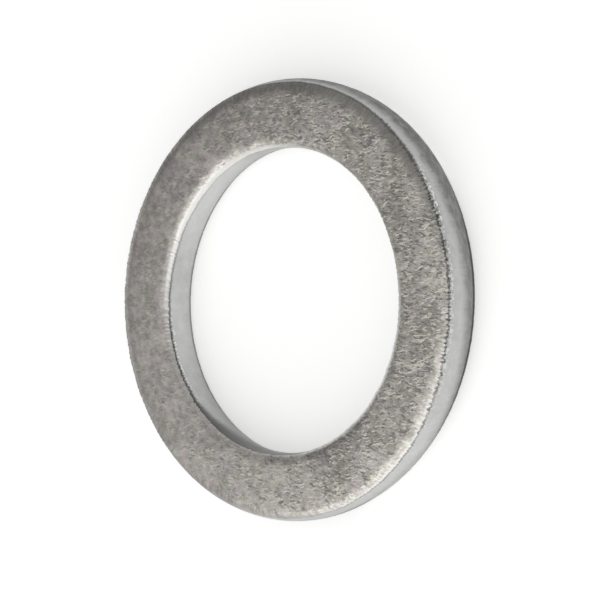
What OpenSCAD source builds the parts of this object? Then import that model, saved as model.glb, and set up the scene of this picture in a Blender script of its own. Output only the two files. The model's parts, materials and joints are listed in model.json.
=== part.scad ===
// Sealing washer of soft aluminium, for an M14 drain plug or banjo bolt.
// It is one ring, cut from sheet in a single stroke. The cut has drawn the upper face down in a
// rounded die roll along both edges, left a crowned rim and a plain land in the bore, and broken
// the two lower edges. Where a die roll ends there is an arris, the line at which the skin of the
// sheet stops and the sheared wall begins.
// The ring lies flat: its axis is +Z and its lower face is at z = 0.

/* [Ring] */
// Outer diameter, across the widest part of the rim
outer_d = 20; // [18:0.1:24]
// Bore diameter, across the plain land
bore_d = 14; // [12:0.1:15]
// Thickness between the two flat faces
thickness = 2; // [1.5:0.1:3]

/* [Outer edge] */
// Width of the die roll, from the flat upper face to the arris
rim_roll_w = 0.5; // [0.4:0.05:0.8]
// Depth of the arris below the flat upper face
rim_roll_d = 0.27; // [0.15:0.01:0.3]
// How far the middle of the rim stands proud of its upper and lower ends
rim_crown = 0.18; // [0.05:0.01:0.25]
// Width of the rounding between the flat lower face and the rim's lower end
rim_base_w = 0.3; // [0.2:0.05:0.5]
// Height of the rim's lower end above the flat lower face
rim_base_h = 0.15; // [0.05:0.01:0.2]

/* [Bore edge] */
// Width of the die roll, from the flat upper face to the arris
bore_roll_w = 0.4; // [0.35:0.05:0.7]
// Depth of the arris below the flat upper face
bore_roll_d = 0.33; // [0.2:0.01:0.35]
// Width of the rounding between the flat lower face and the land
bore_base_w = 0.35; // [0.3:0.05:0.5]
// Height of the land's lower end above the flat lower face
bore_base_h = 0.3; // [0.15:0.01:0.3]

/* [Hidden] */
$fn = 180;
outer_r = outer_d / 2;
bore_r = bore_d / 2;
// Radius of the rim at its upper and lower ends
rim_end_r = outer_r - rim_crown;
rim_top_z = thickness - rim_roll_d;
rim_mid_z = (rim_base_h + rim_top_z) / 2;
// How far a cutting shape reaches past the sheet
overcut = 1;
// How far a rounding's cut runs on past the end of its arc, where the wall has already been cut back
lap = 0.05;

// Radius, to the micron, of an arc that starts along a line and has left it by rise after a length of run
function arc_radius(run, rise) = round(1000 * (run * run + rise * rise) / (2 * rise)) / 1000;

// What a rounded edge loses. The arc starts along a flat face at the point start and leads towards
// the wall: side is 1 for the rim and -1 for the bore, up is 1 for the upper face and -1 for the lower.
module edge_cut(start, run, rise, side, up) {
    radius = arc_radius(run, rise);
    inner = start - [0, up * (rise + lap)];
    outer = start + [side * (run + overcut), up * overcut];
    low = [min(inner.x, outer.x), min(inner.y, outer.y)];
    high = [max(inner.x, outer.x), max(inner.y, outer.y)];
    difference() {
        translate(low) square(high - low);
        translate(start - [0, up * radius]) circle(radius);
    }
}

// What the rim loses to its crown, an arc that is upright half way up the rim
module crown_cut() {
    radius = arc_radius(rim_top_z - rim_mid_z, rim_crown);
    axis_r = outer_r - radius;
    difference() {
        translate([axis_r, -overcut]) square([radius + 2 * overcut, thickness + 2 * overcut]);
        translate([axis_r, rim_mid_z]) circle(radius);
    }
}

// Half of the face that a ring sawn through would show, radius to the right and height upwards
module section() {
    difference() {
        translate([bore_r, 0]) square([outer_r + overcut - bore_r, thickness]);
        crown_cut();
        edge_cut([rim_end_r - rim_roll_w, thickness], rim_roll_w, rim_roll_d, 1, 1);
        edge_cut([rim_end_r - rim_base_w, 0], rim_base_w, rim_base_h, 1, -1);
        edge_cut([bore_r + bore_roll_w, thickness], bore_roll_w, bore_roll_d, -1, 1);
        edge_cut([bore_r + bore_base_w, 0], bore_base_w, bore_base_h, -1, -1);
    }
}

module washer() {
    color("#9b9892") rotate_extrude() section();
}

washer();
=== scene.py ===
import json
import math

import bpy
import numpy as np
from mathutils import Matrix, Vector


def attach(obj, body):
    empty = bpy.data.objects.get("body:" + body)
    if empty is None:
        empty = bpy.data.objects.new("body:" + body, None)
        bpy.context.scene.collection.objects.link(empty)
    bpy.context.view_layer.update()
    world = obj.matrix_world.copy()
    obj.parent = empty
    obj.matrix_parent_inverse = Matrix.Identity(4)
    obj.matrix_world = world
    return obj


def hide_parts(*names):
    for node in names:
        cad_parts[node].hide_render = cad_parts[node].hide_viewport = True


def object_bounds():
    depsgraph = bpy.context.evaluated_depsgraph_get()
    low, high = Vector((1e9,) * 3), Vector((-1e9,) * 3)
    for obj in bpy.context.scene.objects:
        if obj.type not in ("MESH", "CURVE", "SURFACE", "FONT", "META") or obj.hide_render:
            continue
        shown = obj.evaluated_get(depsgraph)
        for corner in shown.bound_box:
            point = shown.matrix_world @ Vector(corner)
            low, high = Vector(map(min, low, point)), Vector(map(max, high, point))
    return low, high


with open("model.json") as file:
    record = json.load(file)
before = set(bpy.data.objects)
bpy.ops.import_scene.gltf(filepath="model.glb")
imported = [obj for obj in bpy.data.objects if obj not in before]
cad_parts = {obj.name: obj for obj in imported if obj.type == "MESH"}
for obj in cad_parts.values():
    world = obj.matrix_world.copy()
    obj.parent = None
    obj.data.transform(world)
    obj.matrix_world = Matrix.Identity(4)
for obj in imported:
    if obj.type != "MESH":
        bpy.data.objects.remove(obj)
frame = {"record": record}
cad_low, cad_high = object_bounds()


# The washer
# One ring of soft aluminium, cut from mill-finished sheet by a single stroke of punch and die. The stroke
# draws the upper skin down in a die roll along both edges, burnishes the upper part of each wall and tears
# the lower part. The tools sat a little off centre, so the rolls are deeper on one side than on the other.

MM = 0.001
rim_radius = min(-cad_low.x, cad_high.x, -cad_low.y, cad_high.y)
thickness = cad_high.z
bore_mount = next(mount for mount in frame["record"]["mounts"] if mount["name"] == "bore")
bore_radius = bore_mount["dims"]["r_mm"] * MM

# Widths and least depths of the two die rolls, how much deeper each is on its deep side, and where that is
rim_roll_width = 0.62 * MM
rim_roll_depth = 0.14 * MM
rim_roll_lean = 0.35 * MM
rim_deep_side = -53
bore_roll_width = 0.52 * MM
bore_roll_depth = 0.27 * MM
bore_roll_lean = 0.18 * MM
bore_deep_side = 130
# How far the inner roll has turned along its ellipse where it ends at the arris
bore_roll_turn = math.radians(64)
# The punch went through a little off the centre of the rim, and the hole opens out below the arris
bore_draw = 0.07 * MM
bore_flare = 0.02 * MM
bore_oval = 0.035 * MM
punch_side = -85
arris_offset = 0.05 * MM
base_offset = 0.066 * MM
# How far the land stands proud of a straight line between its ends, and how much more on the punch's side
land_swell = 0.05 * MM
land_swell_lean = 0.09 * MM
# The crown of the rim at its upper end, how much less it is towards -X, a slight flat in the rim, the crown
# at the lower end, the depth at which the upper arc ends, and the broken lower edges
rim_crown = 0.184 * MM
rim_crown_less = 0.1 * MM
rim_flat = 0.05 * MM
rim_flat_side = -49
rim_low_crown = 0.155 * MM
rim_drawn_depth = 0.27 * MM
rim_base_width = 0.3 * MM
rim_base_height = 0.14 * MM
bore_base_width = 0.35 * MM
bore_base_height = 0.19 * MM
rim_low_turn = 2 * math.atan2(rim_base_height, rim_base_width)
bore_low_turn = 2 * math.atan2(bore_base_height, bore_base_width)

COLUMNS = 1280
turn = np.linspace(0, 2 * np.pi, COLUMNS, endpoint=False)[:, None]


def ripple(seed, fewest, most):
    """A random wave round the ring that closes on itself, as a column: white noise of which only the waves
    from fewest to most per turn are kept, scaled to a spread of one."""
    spectrum = np.fft.rfft(np.random.default_rng(seed).standard_normal(COLUMNS))
    count = np.arange(spectrum.size)
    spectrum[(count < fewest) | (count > most)] = 0
    wave = np.fft.irfft(spectrum, COLUMNS)
    return (wave / wave.std())[:, None]


def share(points, power=1.0):
    """Points numbers from 0 towards 1, without the 1, as a row. A power above 1 crowds them near 0."""
    return np.linspace(0, 1, points, endpoint=False)[None] ** power


def roll(width, depth, end_turn, part):
    """A stretch of an ellipse that leaves a level line: part of the turn by the sine and the versed sine,
    scaled so that the whole turn goes width along the line and depth away from it."""
    along = width * np.sin(part * end_turn) / math.sin(end_turn)
    away = depth * (1 - np.cos(part * end_turn)) / (1 - math.cos(end_turn))
    return along, away


def lobe(degrees, narrowness):
    """A hump round the ring, 1 at an angle and fading to both sides: e to the power of narrowness times
    the cosine less 1."""
    return np.exp(narrowness * (np.cos(turn - math.radians(degrees)) - 1))


def crown(height):
    """Radius of the rim at a height: two arcs, both upright half way between the drawn ends of the rim. The
    upper arc falls back less towards -X, and a slight flat takes a little off both on one side."""
    half = (thickness - rim_drawn_depth - rim_base_height) / 2
    off_middle = height - rim_base_height - half
    fall_back = np.where(off_middle > 0, rim_crown - rim_crown_less * lobe(180, 6), rim_low_crown)
    arc = (half**2 + fall_back**2) / (2 * fall_back)
    return rim_radius - rim_flat * lobe(rim_flat_side, 12) - arc + np.sqrt(arc**2 - off_middle**2)


def hole(size, offset):
    """Reach from the ring's axis to a circle of a size whose centre is an offset away, to the punch's side:
    the root of size squared less the offset's sine squared, plus the offset's cosine."""
    aside = turn - math.radians(punch_side)
    return np.sqrt(size**2 - (offset * np.sin(aside))**2) + offset * np.cos(aside)


# The arris of each roll wanders slowly round the ring and is serrated where the skin tore from the wall
rim_serration = 0.014 * MM * ripple(1, 90, 420) + 0.010 * MM * ripple(2, 12, 60)
rim_far_roll = 0.06 * MM * lobe(62, 4) + 0.12 * MM * lobe(-170, 1.5)
rim_depth = rim_roll_depth + rim_roll_lean * lobe(rim_deep_side, 5) + rim_far_roll + rim_serration
rim_arris = thickness - rim_depth
bore_serration = 0.012 * MM * ripple(3, 70, 300) + 0.010 * MM * ripple(4, 10, 45)
bore_near_roll = 0.09 * MM * lobe(-46, 5) - 0.06 * MM * lobe(40, 6)
bore_depth = bore_roll_depth + bore_roll_lean * lobe(bore_deep_side, 3) + bore_near_roll + bore_serration
bore_arris = thickness - bore_depth
# Local departures of the hole and of the widths of the rolls, as humps round the ring
bore_top = hole(bore_radius - bore_draw, arris_offset) + 0.06 * MM * lobe(50, 9) - 0.05 * MM * lobe(88, 25)
bore_foot = hole(bore_radius + bore_flare, base_offset) - bore_oval * np.cos(2 * turn)
bore_foot = bore_foot + 0.05 * MM * lobe(117, 20)
rim_roll_share = 1 - 0.35 * lobe(-52, 4)
rim_flat_end = crown(rim_arris) - rim_roll_width * rim_roll_share + 0.02 * MM * ripple(5, 4, 40)
bore_roll_share = 1 - 0.35 * lobe(160, 2) + 0.2 * lobe(-30, 6) - 0.4 * lobe(42, 5)
bore_flat_end = bore_top + bore_roll_width * bore_roll_share + 0.015 * MM * ripple(6, 4, 40)

# The upper face is level between two radii and sags towards both edges
level_from = 8.1 * MM
level_to = 8.4 * MM
sag_rate = 0.038 / MM


def sag(reach):
    """Fall of the upper face at a radius: the square of the way past the level middle, times a rate."""
    past_level = np.maximum(reach - level_to, 0) + np.maximum(level_from - reach, 0)
    return sag_rate * past_level**2


# The section, as eight stretches of radius and height that follow each other round it
upper_reach = bore_flat_end + (rim_flat_end - bore_flat_end) * share(12)
upper = (upper_reach, thickness - sag(upper_reach))

# The outer roll steepens towards its arris: its fall is a power of the way across, higher towards -Y
roll_part = 1 - (1 - np.linspace(0, 1, 13)[None, :-1])**1.4
roll_power = 2.1 + 2.2 * lobe(-68, 3)
away = (rim_depth - sag(crown(rim_arris))) * roll_part**roll_power
roll_reach = rim_flat_end + (crown(rim_arris) - rim_flat_end) * roll_part
rim_roll = (roll_reach, thickness - sag(roll_reach) - away)

fall = rim_arris + (rim_base_height - rim_arris) * share(14, 1.4)
wall = (crown(fall), fall)

along, away = roll(rim_base_width, rim_base_height, rim_low_turn, 1 - share(4))
rim_base = (crown(rim_base_height) - rim_base_width + along + 0 * turn, away + 0 * turn)

rim_low_end = crown(rim_base_height) - rim_base_width
bore_low_end = bore_foot + bore_base_width
lower = (rim_low_end + (bore_low_end - rim_low_end) * share(8), 0 * turn + 0 * share(8))

along, away = roll(bore_base_width, bore_base_height, bore_low_turn, share(5))
bore_base = (bore_low_end - along, away + 0 * turn)

land_part = 1 - (1 - share(10))**1.3
rise = bore_base_height + (bore_arris - bore_base_height) * land_part
barrel = (land_swell + land_swell_lean * lobe(-92, 8)) * 4 * land_part * (1 - land_part)
land = (bore_foot + (bore_top - bore_foot) * land_part - barrel, rise)

along, away = roll(1, bore_depth - sag(bore_top), bore_roll_turn, 1 - share(12, 1.3))
roll_reach = bore_flat_end - (bore_flat_end - bore_top) * along
bore_roll = (roll_reach, thickness - sag(roll_reach) - away)

stretches = [upper, rim_roll, wall, rim_base, lower, bore_base, land, bore_roll]
radius = np.concatenate([stretch[0] for stretch in stretches], axis=1)
height = np.concatenate([stretch[1] for stretch in stretches], axis=1)
ends = np.cumsum([stretch[0].shape[1] for stretch in stretches])
rim_arris_row = ends[1]
bore_arris_row = ends[6]


def swell(points, seed, length):
    """Unevenness of one size in every direction: the sum of plane waves of about that length, with random
    headings and starts, scaled to a spread of one."""
    random = np.random.default_rng(seed)
    heading = random.standard_normal((3, 20))
    heading *= random.uniform(0.6, 1.5, 20) * 2 * np.pi / length / np.linalg.norm(heading, axis=0)
    return np.cos(points @ heading + random.uniform(0, 2 * np.pi, 20)).sum(-1) / math.sqrt(10)


def ring_points(radius, height):
    """The section carried round the axis: radius times the cosine and sine of the turn, and the height."""
    return np.stack([radius * np.cos(turn), radius * np.sin(turn), height], axis=-1)


# Length along the section past the arris of the nearer roll, positive down the wall, negative on the skin
step = np.hypot(np.roll(radius, -1, axis=1) - radius, np.roll(height, -1, axis=1) - height)
length = np.cumsum(step, axis=1) - step
row = np.arange(radius.shape[1])
inner_half = row < ends[0] // 2
near_rim = ~inner_half & (row < ends[4] - 4)
past_rim = length - length[:, rim_arris_row:rim_arris_row + 1]
whole_length = step.sum(axis=1, keepdims=True)
past_bore = length[:, bore_arris_row:bore_arris_row + 1] - length - whole_length * inner_half
past_arris = np.where(near_rim, past_rim, past_bore)
on_rim_wall = (row >= ends[1]) & (row <= ends[3])
on_bore_wall = (row >= ends[4]) & (row <= ends[6])
sheared = np.where(on_rim_wall | on_bore_wall, 1.0, 0.0)
sheared = sheared + 0 * turn

# The torn lip along each arris: how far it reaches up the skin and down the wall, in mm, and how dark it
# is. It is a dark toothed line along the rim towards +X and a thin dark line along the bore towards -X;
# the broad band on the rim towards +X and +Y, the dark at the bore's edge towards +X and the broad smooth
# shoulder in the bore towards -Y are painted shade
teeth = np.clip(1 + 0.4 * ripple(12, 200, 520) + 0.15 * ripple(13, 20, 90), 0.3, 2.2)
patchy = np.clip(0.95 + 0.1 * ripple(14, 40, 160), 0.4, 1.1)
comb = np.clip(ripple(15, 200, 520), 0, 2)
rim_lip_above = (0.055 + 0.06 * lobe(30, 7)) * teeth + 0.07 * lobe(-20, 12) * comb
rim_lip_below = 0.03 * teeth
rim_lip_dark_and_shade = (0.1 + 0.85 * lobe(2, 1.8)) * patchy
rim_lip = (rim_lip_above, rim_lip_below, rim_lip_dark_and_shade)
bore_lip_dark_and_shade = np.clip(1.25 * lobe(-142, 1.6) - 0.12, 0, 1) + 0.35 * lobe(8, 10)
bore_lip_above = 0.04 + 0.02 * teeth
bore_lip_below = 0.04 + 0.03 * teeth + 0.8 * lobe(-108, 16)
bore_lip = (bore_lip_above, bore_lip_below, bore_lip_dark_and_shade)
lip_above, lip_below, lip_dark_and_shade = (np.where(near_rim, rim, bore) for rim, bore in zip(rim_lip, bore_lip))

# Relief, as depths below the plain form: slow waves in the sheet, radial wrinkles that the draw left in the
# rolls, notches along the arris, drag lines down the burnished walls and torn metal below them
rim_wrinkle = 0.003 * MM
bore_wrinkle = 0.0002 * MM
dimple_depth = 0.0015 * MM
notch_depth = 0.009 * MM
drag_depth = 0.0005 * MM
torn_depth = 0.003 * MM
torn_from = 0.75 * MM
torn_run = 0.25 * MM
points = ring_points(radius, height)
on_roll = np.exp(-(np.minimum(past_arris, 0) / (0.22 * MM))**2) * (past_arris <= 0)
wrinkle = np.where(near_rim, rim_wrinkle, bore_wrinkle) * (ripple(7, 110, 420) + 3) * on_roll
dimple = dimple_depth * (swell(points, 8, 1.4 * MM) + 3) * (1 - sheared)
notch = notch_depth * np.maximum(ripple(9, 120, 460) - 0.4, 0) * np.exp(-(past_arris / (0.05 * MM))**2)
drag = drag_depth * (ripple(10, 60, 500) + 4) * sheared
torn_share = np.clip((past_arris - torn_from) / torn_run, 0, 1) * sheared
torn = torn_depth * (swell(points, 11, 0.35 * MM) + 3) * torn_share
relief = wrinkle + dimple + notch + drag + torn

ahead = np.roll(radius, -1, axis=1) - np.roll(radius, 1, axis=1)
above = np.roll(height, -1, axis=1) - np.roll(height, 1, axis=1)
run = np.hypot(ahead, above)
points = ring_points(radius + relief * above / run, np.clip(height - relief * ahead / run, 0, thickness))

index = np.arange(radius.size).reshape(radius.shape)
next_column = np.roll(index, -1, axis=0)
next_row = np.roll(index, -1, axis=1)
quads = np.stack([index, next_row, np.roll(next_column, -1, axis=1), next_column], axis=-1)

mesh = bpy.data.meshes.new("washer_ring")
mesh.from_pydata(points.reshape(-1, 3), [], quads.reshape(-1, 4).tolist())
mesh.polygons.foreach_set("use_smooth", np.ones(radius.size, dtype=bool))
attributes = {"past_arris": past_arris / MM, "sheared": sheared,
              "lip_above": lip_above, "lip_below": lip_below, "lip_dark_and_shade": lip_dark_and_shade}
for name, values in attributes.items():
    attribute = mesh.attributes.new(name, "FLOAT", "POINT")
    attribute.data.foreach_set("value", values.ravel().astype(np.float32))
washer = bpy.data.objects.new("washer_ring", mesh)
bpy.context.scene.collection.objects.link(washer)


class Value:
    """A number that varies over a surface: one output of a node. Arithmetic on it adds Math nodes."""

    def __init__(self, finish, output):
        self.finish = finish
        self.output = output

    def maths(self, operation, *values):
        return self.finish.node("ShaderNodeMath", {"operation": operation}, dict(enumerate(values)))

    def __add__(self, other):
        return self.maths("ADD", self, other)

    def __sub__(self, other):
        return self.maths("SUBTRACT", self, other)

    def __rsub__(self, other):
        return self.maths("SUBTRACT", other, self)

    def __mul__(self, other):
        return self.maths("MULTIPLY", self, other)

    def __truediv__(self, other):
        return self.maths("DIVIDE", self, other)

    def __pow__(self, other):
        return self.maths("POWER", self, other)

    __radd__ = __add__
    __rmul__ = __mul__

    def ease(self, start, end):
        """0 before start and 1 after end, with a smooth step between them. Start may be above end."""
        sockets = {"Value": self, "From Min": start, "From Max": end}
        return self.finish.node("ShaderNodeMapRange", {"interpolation_type": "SMOOTHSTEP"}, sockets)


class Finish:
    """The node tree of one finish, emptied."""

    def __init__(self, tree):
        self.tree = tree
        tree.nodes.clear()

    def node(self, kind, settings, sockets, output=0):
        """Adds a node of a kind and sets its settings, then its sockets, by name or number, to values or
        links."""
        node = self.tree.nodes.new(kind)
        for name, value in settings.items():
            setattr(node, name, value)
        for name, value in sockets.items():
            if isinstance(value, Value):
                self.tree.links.new(value.output, node.inputs[name])
            else:
                node.inputs[name].default_value = value
        return Value(self, node.outputs[output]) if node.outputs else None

    def mix(self, amount, first, second):
        """The first colour where amount is 0 and the second where it is 1."""
        return self.node("ShaderNodeMix", {"data_type": "RGBA"}, {0: amount, 6: first, 7: second}, 2)

    def vector(self, x, y, z):
        return self.node("ShaderNodeCombineXYZ", {}, {0: x, 1: y, 2: z})

    def noise(self, vector, scale, detail=2.0, roughness=0.5):
        sockets = {"Vector": vector, "Scale": scale, "Detail": detail, "Roughness": roughness}
        return self.node("ShaderNodeTexNoise", {}, sockets)

    def turned(self, vector, degrees, size):
        """The vector turned about the ring's axis and then measured in sizes along each axis."""
        sockets = {"Vector": vector, "Rotation": (0, 0, math.radians(degrees)), "Scale": size}
        return self.node("ShaderNodeMapping", {"vector_type": "TEXTURE"}, sockets)

    def attribute(self, name):
        return self.node("ShaderNodeAttribute", {"attribute_name": name}, {}, 2)


def mill_aluminium():
    """Soft aluminium as it comes from the rolling mill and the press. The skin is grey-brown and full of fine
    flakes drawn out along the rolling direction; the sheared walls are paler, smooth above and torn below.
    Painted highlights, sheen and shade are mixed into its colour by place round the ring."""
    material = bpy.data.materials.new("mill_aluminium")
    material.use_nodes = True
    metal = Finish(material.node_tree)
    place = metal.node("ShaderNodeTexCoord", {}, {}, 3)
    place = metal.node("ShaderNodeVectorMath", {"operation": "SCALE"}, {0: place, "Scale": 1 / MM})
    x = metal.node("ShaderNodeSeparateXYZ", {}, {0: place}, 0)
    y = metal.node("ShaderNodeSeparateXYZ", {}, {0: place}, 1)
    z = metal.node("ShaderNodeSeparateXYZ", {}, {0: place}, 2)
    past = metal.attribute("past_arris")
    wall = metal.attribute("sheared")
    skin = 1 - wall
    reach = (x**2 + y**2)**0.5
    on_rim = reach.ease(8, 9)
    on_bore = 1 - on_rim

    # The skin: slanting flakes drawn out along the rolling direction, crisp towards +X, blurred towards -X
    drift = metal.node("ShaderNodeTexNoise", {}, {"Vector": place, "Scale": 2.6, "Detail": 1.0}, 1)
    drift = metal.node("ShaderNodeVectorMath", {"operation": "SCALE"}, {0: drift, "Scale": 0.2})
    flaky = metal.node("ShaderNodeVectorMath", {"operation": "ADD"}, {0: place, 1: drift})
    flakes_up = metal.noise(metal.turned(flaky, 10, (0.33, 0.102, 0.102)), 1, 1.5, 0.5)
    flakes_down = metal.noise(metal.turned(flaky, -13, (0.30, 0.096, 0.096)), 1, 1.5, 0.5)
    blotches = metal.noise(place, 2.9, 2, 0.6)
    grain = metal.noise(place, 20, 1, 0.5)
    mottle = metal.noise(place, 1.2, 2, 0.5)
    patch = metal.noise(place, 0.42, 1, 0.5)
    tint = metal.noise(place, 1.7, 2, 0.6)
    cluster = metal.noise(place, 1.9, 2, 0.6)
    crisp = (x.ease(-9, 7) * 0.75 + 0.25) * (0.5 + cluster.ease(0.35, 0.65))
    light_flakes = flakes_up.ease(0.50, 0.68)
    dark_flakes = flakes_down.ease(0.50, 0.34)
    # On the outer roll the draw has wiped the flakes out and left fine radial combing
    on_roll = past.ease(-0.45, -0.1) * skin
    drawn = past.ease(-0.7, -0.25) * skin * on_rim * (y.ease(2, -3) + y.ease(3.5, 6.5))
    around_x = x / reach * 9
    around_y = y / reach * 9
    combing = metal.noise(metal.vector(around_x, around_y, reach * 0.3), 8, 2, 0.6)
    specks = metal.noise(place, 6.5, 1, 0.5).ease(0.64, 0.74)
    flakes = (light_flakes - dark_flakes * 0.85) * crisp * (1 - 0.75 * drawn)
    grit = (grain - 0.5) * (1 - 0.6 * drawn)
    # How light the skin is, before it is scaled to a colour
    skin_tone = 0.44 + 0.82 * flakes + (blotches - 0.5) * (1.25 - 0.25 * x.ease(-9, 2))
    skin_tone = skin_tone + (mottle - 0.5) * (0.6 + 0.35 * x.ease(-9, 2))
    skin_tone = skin_tone + specks * (0.15 + 0.35 * x.ease(-8, 0))
    skin_tone = skin_tone + (patch - 0.5) * (0.4 + 0.3 * x.ease(-9, 2))
    # The last term is painted shade: the skin darker towards -X and lighter towards +X
    skin_tone = skin_tone + grit * (x.ease(-9, 2) * 0.8 + 0.05) + 0.005 * x
    skin_tone = skin_tone + (combing - 0.5) * drawn * 1.9
    # Painted light: the skin lighter towards -Y and -X
    skin_tone = skin_tone + ((-0.57 * x - 0.82 * y) / reach).ease(0.3, 1) * 0.15
    # Painted shade: the inner skin darker towards +X and -Y
    skin_tone = skin_tone - ((0.85 * x - 0.53 * y) / reach).ease(0.6, 1) * reach.ease(9.5, 8) * 0.12
    shade = metal.mix(skin_tone.ease(-0.35, 1.35), (0.36, 0.36, 0.36, 1), (1.0, 1.0, 1.0, 1))
    cast = metal.mix((tint - 0.006 * x).ease(0.3, 0.7), (1.0, 0.981, 0.881, 1), (1.0, 0.922, 0.912, 1))
    skin_colour = metal.node("ShaderNodeVectorMath", {"operation": "MULTIPLY"}, {0: shade, 1: cast})
    # Paler along the edges: partly burnish, mostly painted highlight. Most round the bore towards -X and +Y,
    # and along the rim towards +X and -Y
    painted_highlight_side = 0.2 + 0.62 * (y - x).ease(3.5, 8.5) + 0.22 * x.ease(-2, -6) + 0.42 * (x - y).ease(7, 9.5)
    painted_highlight_edge = (y - x).ease(8.8, 10)
    bore_painted_highlight = (past + 0.07 * painted_highlight_edge).ease(-0.32, -0.17) * skin * on_bore * painted_highlight_side
    rim_painted_highlight = past.ease(-0.3, -0.1) * skin * on_rim * y.ease(5, 0) * x.ease(1, 5)
    burnish_and_painted_highlight = rim_painted_highlight * (0.3 + 0.35 * y.ease(-3, -6)) + bore_painted_highlight
    skin_colour = metal.mix(burnish_and_painted_highlight, skin_colour, (1.0, 0.99, 0.96, 1))
    # A smooth pale strip along the bore towards +X: a painted sheen
    painted_sheen_strip = past.ease(-0.45, -0.3) * skin * on_bore * ((0.94 * x - 0.34 * y) / reach).ease(0.78, 0.96)
    skin_colour = metal.mix(painted_sheen_strip * 0.85, skin_colour, (0.97, 0.98, 0.97, 1))
    # Painted shade along the rim towards +Y and -X, and along the bore towards +X and +Y
    painted_shade_edges = past.ease(-0.75, -0.2) * skin * on_rim * y.ease(1, 6)
    painted_shade_edges = painted_shade_edges + past.ease(-1.1, -0.45) * skin * on_rim * x.ease(-4, -8) * y.ease(4, 0) * 0.42
    painted_shade_edges = painted_shade_edges + past.ease(-0.45, -0.12) * skin * on_rim * x.ease(4.2, 1) * y.ease(3, -1) * 0.8
    painted_shade_bore_side = ((0.77 * x + 0.64 * y) / reach).ease(0.5, 0.9)
    painted_shade_edges = painted_shade_edges + past.ease(-0.5, -0.15) * skin * on_bore * painted_shade_bore_side * 0.65
    skin_colour = metal.mix(painted_shade_edges * 0.72, skin_colour, (0.36, 0.355, 0.34, 1))

    # The walls: smooth where the punch burnished them, darker and torn below, with painted light and shade
    blotch = metal.noise(place, 1.6, 3, 0.6)
    drag = metal.noise(metal.vector(around_x, around_y, z * 0.3), 6, 2, 0.6)
    speckle = metal.noise(metal.vector(around_x, around_y, z * 1.5), 7, 3, 0.7)
    scuff = metal.noise(metal.vector(around_x, around_y, z * 1.5), 2.4, 3, 0.6)
    # The torn zone is real; that it starts higher and darkens more towards +Y is painted shade
    torn = past - 0.78 + 0.063 * y + (blotch - 0.5) * 0.6 + (speckle - 0.5) * 0.35
    torn = torn.ease(-0.28, 0.4) * wall * on_rim * (0.88 + 0.12 * y.ease(9.4, 7.8))
    bright = (0.5 + (blotch - 0.5) * 1.2 + (speckle - 0.5) * (0.9 + 3 * torn)).ease(0, 1)
    wall_colour = metal.mix(bright, (0.472, 0.478, 0.464, 1), (0.6, 0.607, 0.589, 1))
    torn_and_painted_shade = torn * (0.67 + 0.025 * y) * (0.82 + 0.36 * scuff.ease(0.35, 0.65))
    wall_colour = metal.mix(torn_and_painted_shade, wall_colour, (0.2, 0.2, 0.2, 1))
    # Painted light: the upper rim wall paler towards -Y
    painted_light_rim_wall = on_rim * z.ease(0.6, 1.2) * y.ease(-3, -7)
    wall_colour = metal.mix(painted_light_rim_wall * 0.28, wall_colour, (0.82, 0.83, 0.82, 1))
    # Painted reflection of the white card: the foot of the rim paler towards +Y
    painted_reflection_foot = on_rim * z.ease(0.34, 0.14) * y.ease(3.5, 6.5)
    wall_colour = metal.mix(painted_reflection_foot * 0.5, wall_colour, (0.9, 0.9, 0.9, 1))
    # Painted shade: the lower bore wall darker towards +Y and -Y, and the whole bore wall darker towards -Y
    painted_shade_low_bore = on_bore * z.ease(0.95, 0.4) * (y.ease(2, 5.5) * 0.38 + y.ease(-1.5, -4.5) * 0.2)
    wall_colour = metal.mix(painted_shade_low_bore, wall_colour, (0.3, 0.3, 0.3, 1))
    wall_colour = metal.mix(on_bore * y.ease(0, -7) * 0.22, wall_colour, (0.3, 0.3, 0.3, 1))
    # Painted light: the bore wall paler towards -X, most between -X and +Y
    painted_light_bore_side = (y - 0.8 * x).ease(6.5, 9) * y.ease(6.9, 6.1) * 0.42
    painted_light_bore_side = painted_light_bore_side + x.ease(-5.5, -7) * y.ease(2, -2) * 0.15
    wall_colour = metal.mix(on_bore * painted_light_bore_side, wall_colour, (0.78, 0.79, 0.78, 1))
    # Painted shade: the lower rim wall darker towards -Y
    painted_shade_rim_foot = on_rim * y.ease(-8.4, -9.5) * z.ease(1.1, 0.75)
    wall_colour = metal.mix(painted_shade_rim_foot * 0.8, wall_colour, (0.16, 0.16, 0.16, 1))
    # Painted shade: dark lines along the bottom of both walls, where they meet the card
    painted_shade_rim_bottom = z.ease(0.46, 0.32) * y.ease(-7, -2.5) * y.ease(6, 2.5) * on_rim
    painted_shade_bore_bottom = z.ease(0.36, 0.28) * on_bore
    wall_colour = metal.mix(painted_shade_rim_bottom + painted_shade_bore_bottom * 0.5, wall_colour, (0.1, 0.1, 0.1, 1))
    colour = metal.mix(wall, skin_colour, wall_colour)

    # The torn lip along the arris, dark, with painted shade on its broad bands, and bright crumbs of metal in
    # it and below it
    ragged = past + (metal.noise(metal.vector(around_x, around_y, z), 9, 2, 0.7) - 0.5) * 0.07
    above = metal.attribute("lip_above")
    below = metal.attribute("lip_below")
    torn_lip_and_shade = (ragged + above).ease(-0.03, 0.03) * (ragged / below).ease(1.6, 0.2) * metal.attribute("lip_dark_and_shade")
    colour = metal.mix(torn_lip_and_shade * 0.88, colour, (0.10, 0.10, 0.095, 1))
    crumbs = (past - below).ease(-0.09, -0.05) * (past - below).ease(0.18, 0.11)
    rim_crumbs = on_rim * x.ease(-2, 3) * y.ease(6.4, 5) * (0.55 * y.ease(-7, -1) + 0.65 * y.ease(1.5, 4))
    bore_crumbs = on_bore * x.ease(-4.5, -6) * y.ease(0, -2) * 0.5
    crumbs = crumbs * metal.noise(place, 8, 1, 0.5).ease(0.46, 0.52) * (rim_crumbs + bore_crumbs)
    colour = metal.mix(crumbs * 0.85, colour, (0.95, 0.95, 0.94, 1))

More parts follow.
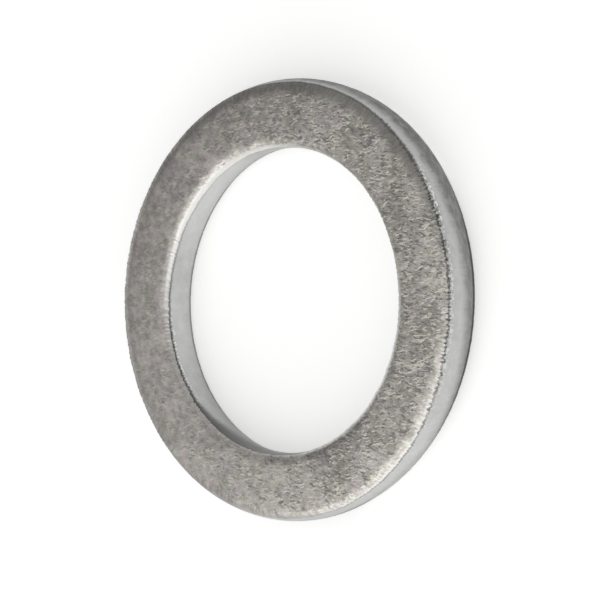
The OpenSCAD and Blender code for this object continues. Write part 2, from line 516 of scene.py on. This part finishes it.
    # The foot of the rim is rougher towards -Y, and bump gives the finest relief: flakes, combing and crumbs
    near_foot = wall * on_rim * y.ease(-6.5, -8.7) * z.ease(1.3, 0.8)
    roughness = skin * (0.36 + 0.12 * mottle) + wall * (0.42 + 0.1 * torn) + near_foot * 0.33
    level = (flakes * 0.35 + grit * 0.35) * skin * (1 - 0.9 * on_roll)
    level = level + (combing - 0.5) * on_roll * (0.03 + 1.9 * on_rim)
    level = level + (drag - 0.5) * wall * 0.1 + crumbs * 2.0 - torn_lip_and_shade * 0.4
    bump = metal.node("ShaderNodeBump", {}, {"Strength": 1.0, "Distance": 0.016 * MM, "Height": level})
    shader = metal.node("ShaderNodeBsdfPrincipled", {}, {
        "Base Color": colour, "Metallic": 1.0, "Roughness": roughness, "Normal": bump,
        "Specular Tint": (0.74, 0.74, 0.74, 1)})
    metal.node("ShaderNodeOutputMaterial", {}, {"Surface": shader})
    return material


mesh.materials.append(mill_aluminium())
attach(washer, "root")
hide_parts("washer")


# The floor
# A sheet of matt white card under the ring, which lies flat on it and shades it. The card is white to the
# camera and in the metal's reflections.

floor_reach = 1.0
floor_mesh = bpy.data.meshes.new("floor")
corners = floor_reach * np.array([(-1, -1, 0), (1, -1, 0), (1, 1, 0), (-1, 1, 0)])
floor_mesh.from_pydata(corners.tolist(), [], [(0, 1, 2, 3)])
floor = bpy.data.objects.new("floor", floor_mesh)
bpy.context.scene.collection.objects.link(floor)
white_card = bpy.data.materials.new("white_card")
white_card.use_nodes = True
card = Finish(white_card.node_tree)
seen = card.node("ShaderNodeLightPath", {}, {}, "Is Camera Ray")
for output in ("Is Glossy Ray", "Is Transmission Ray"):
    seen = seen.maths("MAXIMUM", seen, card.node("ShaderNodeLightPath", {}, {}, output))
card_colour = card.mix(seen, (0.9, 0.9, 0.9, 1), (1.8, 1.8, 1.8, 1))
matt = card.node("ShaderNodeBsdfDiffuse", {}, {"Color": card_colour})
white = card.node("ShaderNodeEmission", {}, {"Color": (1, 1, 1, 1), "Strength": 1.0})
card_shader = card.node("ShaderNodeMixShader", {}, {0: seen * 0.5, 1: matt, 2: white})
card.node("ShaderNodeOutputMaterial", {}, {"Surface": card_shader})
floor_mesh.materials.append(white_card)


# The light
# A soft studio: a broad, low softbox on the side towards -Y, with a glow round it and a darker ceiling above
# it, a darker room towards +Y and -X, and a paler horizon far towards -X.

world = bpy.data.worlds.new("studio")
bpy.context.scene.world = world
world.use_nodes = True
room = Finish(world.node_tree)
heading = room.node("ShaderNodeTexCoord", {}, {}, 0)
to_x = room.node("ShaderNodeSeparateXYZ", {}, {0: heading}, 0)
to_y = room.node("ShaderNodeSeparateXYZ", {}, {0: heading}, 1)
to_z = room.node("ShaderNodeSeparateXYZ", {}, {0: heading}, 2)
level = (0.76 - 0.49 * to_y.ease(-0.4, 0.25)) * (0.62 + 0.72 * to_x.ease(-0.85, -0.35))
level = level + (0.72 - level) * to_x.ease(-0.92, -1.0)
level = level - 0.28 * to_z.ease(0.5, 0.85) * to_y.ease(-0.2, -0.5)
glow_x = math.cos(math.radians(-65))
glow_y = math.sin(math.radians(-65))
glow = (to_x * glow_x + to_y * glow_y).ease(0.1, 1.05) * to_z.ease(1.1, 0.4)
level = level + (0.86 - level) * glow
background = room.node("ShaderNodeBackground", {}, {"Color": (1.0, 0.995, 0.985, 1), "Strength": level})
room.node("ShaderNodeOutputWorld", {}, {"Surface": background})


def softbox(name, azimuth, elevation, distance, width, height, radiance):
    """An oblong lamp that faces the ring from a heading, with the power that gives it a radiance."""
    lamp = bpy.data.lights.new(name, "AREA")
    lamp.shape = "RECTANGLE"
    lamp.size = width
    lamp.size_y = height
    lamp.energy = radiance * math.pi * width * height
    away = Vector((math.cos(azimuth) * math.cos(elevation), math.sin(azimuth) * math.cos(elevation),
                   math.sin(elevation)))
    fixture = bpy.data.objects.new(name, lamp)
    fixture.location = away * distance
    fixture.rotation_mode = "QUATERNION"
    fixture.rotation_quaternion = away.to_track_quat("Z", "Y")
    bpy.context.scene.collection.objects.link(fixture)


softbox("key_softbox", math.radians(-72), math.radians(24), 0.5, 0.60, 0.26, 0.42)


# The camera
# It looks down on the ring from the +X side, at the angle to the ring's axis that the photograph has, and is
# rolled a little about its own line of sight.

view_elevation = math.radians(48.53)
view_roll = math.radians(-1.387)
view_distance = 100 * MM
centre_offset = Vector((-0.493 * MM, 0.021 * MM))
picture_width = 600
focal_pixels = 2213.5
sensor_width = 36

level_right = Vector((math.sin(view_elevation), 0, -math.cos(view_elevation)))
level_up = Vector((0, 1, 0))
back = Vector((math.cos(view_elevation), 0, math.sin(view_elevation)))
right = math.cos(view_roll) * level_right - math.sin(view_roll) * level_up
up = math.sin(view_roll) * level_right + math.cos(view_roll) * level_up
lens = bpy.data.cameras.new("camera")
lens.sensor_width = sensor_width
lens.lens = focal_pixels / picture_width * sensor_width
lens.clip_start = 0.001
camera = bpy.data.objects.new("camera", lens)
ring_centre = Vector((0, 0, thickness / 2))
eye = ring_centre + view_distance * back - centre_offset.x * right - centre_offset.y * up
camera.matrix_world = Matrix.Translation(eye) @ Matrix((right, up, back)).transposed().to_4x4()
bpy.context.scene.collection.objects.link(camera)
bpy.context.scene.camera = camera

bpy.context.scene.view_settings.view_transform = "Standard"
